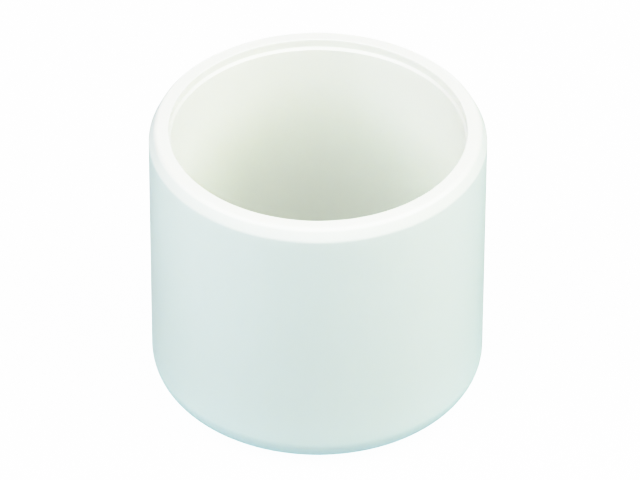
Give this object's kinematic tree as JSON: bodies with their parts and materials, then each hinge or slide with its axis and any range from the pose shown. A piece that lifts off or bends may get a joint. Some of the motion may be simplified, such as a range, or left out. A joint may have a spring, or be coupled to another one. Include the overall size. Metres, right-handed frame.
{
  "type": "pipe cap",
  "caption": "Cup-shaped plastic pipe cap: a closed end with a rounded edge, a smooth tapered socket and a narrow tapered band round the mouth.",
  "frame": {"origin": "centre of the closed end, on the axis of the socket", "axes": "+Z along the socket axis, out of the mouth; X and Y are interchangeable because the cap is round"},
  "size_m": [0.07, 0.07, 0.0618],
  "materials": {
    "white_pvc": "satin moulded rigid PVC, off-white, slightly translucent at the rim"
  },
  "bodies": {
    "root": {"cap_body": "white_pvc"}
  },
  "joints": []
}
